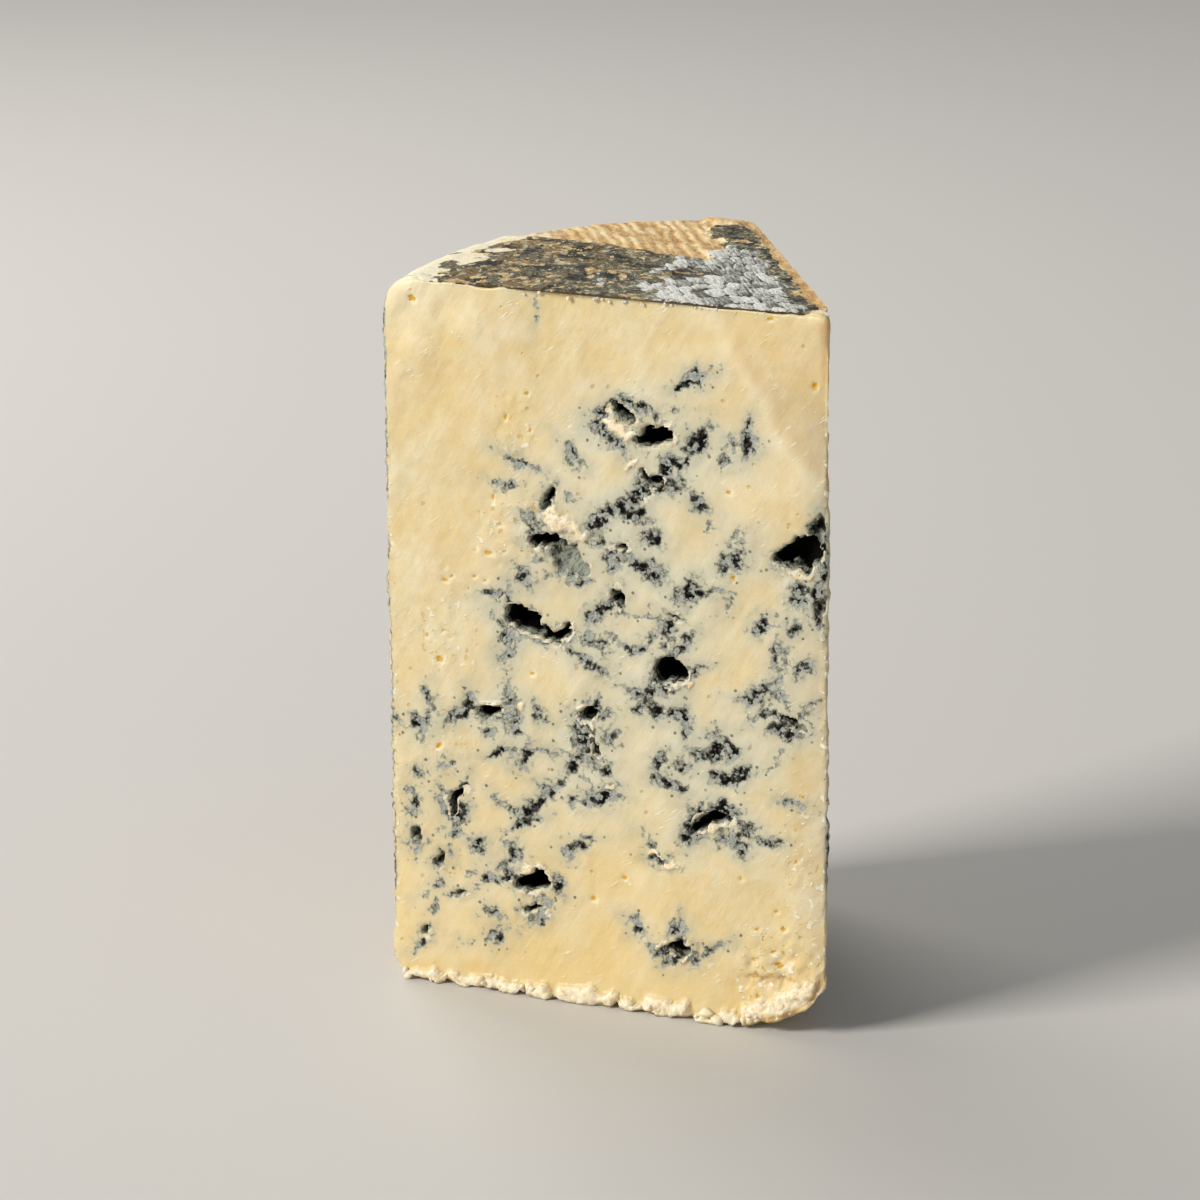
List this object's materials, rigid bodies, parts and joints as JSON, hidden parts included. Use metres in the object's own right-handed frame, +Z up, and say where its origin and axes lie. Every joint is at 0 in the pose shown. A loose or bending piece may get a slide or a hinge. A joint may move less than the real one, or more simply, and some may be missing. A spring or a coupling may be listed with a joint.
{
  "type": "blue cheese wedge",
  "caption": "Tall wedge of blue cheese cut from a drum-shaped wheel, with open mould hollows in both cuts, a rounded rind rim and a crumbly foot; stands upright on its flat base.",
  "frame": {"origin": "middle of the wedge's plan, on the surface that it stands on", "axes": "+Z up along the wheel's axis, +X towards the tip of the wedge, the first cut faces -Y"},
  "size_m": [0.11, 0.0947, 0.1729],
  "materials": {
    "cheese_paste": "waxy cream-yellow paste with blue-grey mould veins",
    "cheese_rind": "dry rind, woven ridges, grey mould on top and tan at the rim"
  },
  "bodies": {
    "root": {"cheese_wedge": "cheese_paste"}
  },
  "joints": []
}
